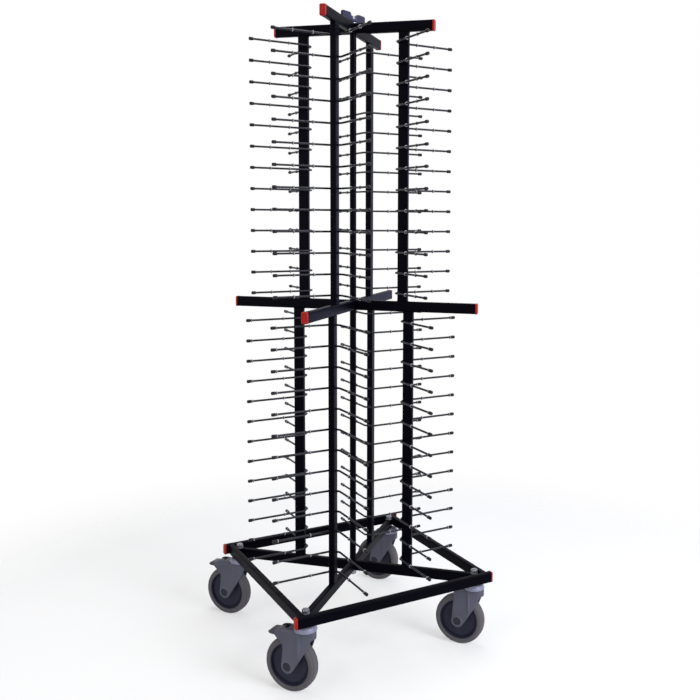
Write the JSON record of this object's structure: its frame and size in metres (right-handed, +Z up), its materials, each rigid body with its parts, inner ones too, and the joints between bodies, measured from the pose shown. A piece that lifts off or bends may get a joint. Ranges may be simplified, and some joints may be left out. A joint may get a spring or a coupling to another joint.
{
  "type": "plate rack trolley",
  "caption": "Tall mobile plate rack: posts on a square base with cross arms, rows of bent wire rods holding plates on all sides, red end caps and swivel castors.",
  "frame": {"origin": "on the floor under the centre column", "axes": "+Z up; the capped base rails run along X, and the picture's nearest corner is at -X, -Y"},
  "size_m": [0.6585, 0.6756, 1.8531],
  "materials": {
    "frame_black": "satin powder coat",
    "rod_black": "satin powder coat",
    "cap_red": "satin moulded",
    "tip_black": "matte moulded",
    "ring_grey": "matte",
    "zinc": "bright zinc",
    "knob_black": "satin moulded",
    "fork_grey": "satin moulded",
    "cup_pale": "satin moulded",
    "axle_dark": "dark satin",
    "hub_dark": "satin moulded",
    "tyre_grey": "matte",
    "pedal_violet": "satin moulded"
  },
  "bodies": {
    "frame": {"base_rail_front": "frame_black", "base_rail_rear": "frame_black", "base_rail_left": "frame_black", "base_rail_right": "frame_black", "base_diagonal_main": "frame_black", "base_diagonal_left": "frame_black", "base_diagonal_right": "frame_black", "lower_post_front_left": "frame_black", "lower_post_front_right": "frame_black", "lower_post_rear_left": "frame_black", "lower_post_rear_right": "frame_black", "upper_post_front_left": "frame_black", "upper_post_front_right": "frame_black", "upper_post_rear_left": "frame_black", "upper_post_rear_right": "frame_black", "bumper_bar": "frame_black", "bumper_arm_front": "frame_black", "bumper_arm_rear": "frame_black", "top_bar": "frame_black", "top_arm_front": "frame_black", "top_arm_rear": "frame_black", "end_caps": "cap_red", "lower_centre_tube": "frame_black", "upper_centre_tube": "frame_black", "tie_rod": "zinc", "washers": "zinc", "hex_nuts": "zinc", "castor_bolts": "zinc", "castor_cups": "cup_pale", "lower_rods": "rod_black", "upper_rods": "rod_black", "tip_caps": "tip_black"},
    "knob": {"wing_knob": "knob_black"},
    "rings_front_inner": {"stop_rings_front_inner": "ring_grey"},
    "rings_front_outer": {"stop_rings_front_outer": "ring_grey"},
    "rings_right_inner": {"stop_rings_right_inner": "ring_grey"},
    "rings_right_outer": {"stop_rings_right_outer": "ring_grey"},
    "rings_rear_inner": {"stop_rings_rear_inner": "ring_grey"},
    "rings_rear_outer": {"stop_rings_rear_outer": "ring_grey"},
    "rings_left_inner": {"stop_rings_left_inner": "ring_grey"},
    "rings_left_outer": {"stop_rings_left_outer": "ring_grey"},
    "castor_front_left": {"castor_fork_front_left": "fork_grey", "castor_axle_front_left": "axle_dark"},
    "wheel_front_left": {"castor_hub_front_left": "hub_dark", "castor_tyre_front_left": "tyre_grey"},
    "pedal_front_left": {"brake_pedal_front_left": "pedal_violet"},
    "castor_front_right": {"castor_fork_front_right": "fork_grey", "castor_axle_front_right": "axle_dark"},
    "wheel_front_right": {"castor_hub_front_right": "hub_dark", "castor_tyre_front_right": "tyre_grey"},
    "castor_rear_left": {"castor_fork_rear_left": "fork_grey", "castor_axle_rear_left": "axle_dark"},
    "wheel_rear_left": {"castor_hub_rear_left": "hub_dark", "castor_tyre_rear_left": "tyre_grey"},
    "pedal_rear_left": {"brake_pedal_rear_left": "pedal_violet"},
    "castor_rear_right": {"castor_fork_rear_right": "fork_grey", "castor_axle_rear_right": "axle_dark"},
    "wheel_rear_right": {"castor_hub_rear_right": "hub_dark", "castor_tyre_rear_right": "tyre_grey"}
  },
  "joints": [
    {"name": "knob_turn", "type": "hinge", "parent": "frame", "child": "knob", "pos_m": [0, 0, 1.84], "axis": [0, 0, 1], "continuous": true},
    {"name": "rings_front_inner_slide", "type": "slide", "parent": "frame", "child": "rings_front_inner", "axis": [0, -1, 0], "range_m": [-0.03, 0.02]},
    {"name": "rings_front_outer_slide", "type": "slide", "parent": "frame", "child": "rings_front_outer", "axis": [0, -1, 0], "range_m": [-0.025, 0.002]},
    {"name": "rings_right_inner_slide", "type": "slide", "parent": "frame", "child": "rings_right_inner", "axis": [1, 0, 0], "range_m": [-0.03, 0.02]},
    {"name": "rings_right_outer_slide", "type": "slide", "parent": "frame", "child": "rings_right_outer", "axis": [1, 0, 0], "range_m": [-0.025, 0.002]},
    {"name": "rings_rear_inner_slide", "type": "slide", "parent": "frame", "child": "rings_rear_inner", "axis": [0, 1, 0], "range_m": [-0.03, 0.02]},
    {"name": "rings_rear_outer_slide", "type": "slide", "parent": "frame", "child": "rings_rear_outer", "axis": [0, 1, 0], "range_m": [-0.025, 0.002]},
    {"name": "rings_left_inner_slide", "type": "slide", "parent": "frame", "child": "rings_left_inner", "axis": [-1, 0, 0], "range_m": [-0.03, 0.02]},
    {"name": "rings_left_outer_slide", "type": "slide", "parent": "frame", "child": "rings_left_outer", "axis": [-1, 0, 0], "range_m": [-0.025, 0.002]},
    {"name": "castor_front_left_swivel", "type": "hinge", "parent": "frame", "child": "castor_front_left", "pos_m": [-0.268, -0.268, 0.17], "axis": [0, 0, 1], "continuous": true},
    {"name": "wheel_front_left_spin", "type": "hinge", "parent": "castor_front_left", "child": "wheel_front_left", "pos_m": [-0.29298, -0.23362, 0.075], "axis": [-0.809, -0.5878, 0], "continuous": true},
    {"name": "pedal_front_left_press", "type": "hinge", "parent": "castor_front_left", "child": "pedal_front_left", "pos_m": [-0.30679, -0.2146, 0.1579], "axis": [-0.809, -0.5878, 0], "range_deg": [0, 18]},
    {"name": "castor_front_right_swivel", "type": "hinge", "parent": "frame", "child": "castor_front_right", "pos_m": [0.268, -0.268, 0.17], "axis": [0, 0, 1], "continuous": true},
    {"name": "wheel_front_right_spin", "type": "hinge", "parent": "castor_front_right", "child": "wheel_front_right", "pos_m": [0.24302, -0.23362, 0.075], "axis": [-0.809, -0.5878, 0], "continuous": true},
    {"name": "castor_rear_left_swivel", "type": "hinge", "parent": "frame", "child": "castor_rear_left", "pos_m": [-0.268, 0.268, 0.17], "axis": [0, 0, 1], "continuous": true},
    {"name": "wheel_rear_left_spin", "type": "hinge", "parent": "castor_rear_left", "child": "wheel_rear_left", "pos_m": [-0.29298, 0.30238, 0.075], "axis": [-0.809, -0.5878, 0], "continuous": true},
    {"name": "pedal_rear_left_press", "type": "hinge", "parent": "castor_rear_left", "child": "pedal_rear_left", "pos_m": [-0.30679, 0.3214, 0.1579], "axis": [-0.809, -0.5878, 0], "range_deg": [0, 18]},
    {"name": "castor_rear_right_swivel", "type": "hinge", "parent": "frame", "child": "castor_rear_right", "pos_m": [0.268, 0.268, 0.17], "axis": [0, 0, 1], "continuous": true},
    {"name": "wheel_rear_right_spin", "type": "hinge", "parent": "castor_rear_right", "child": "wheel_rear_right", "pos_m": [0.24302, 0.30238, 0.075], "axis": [-0.809, -0.5878, 0], "continuous": true}
  ]
}
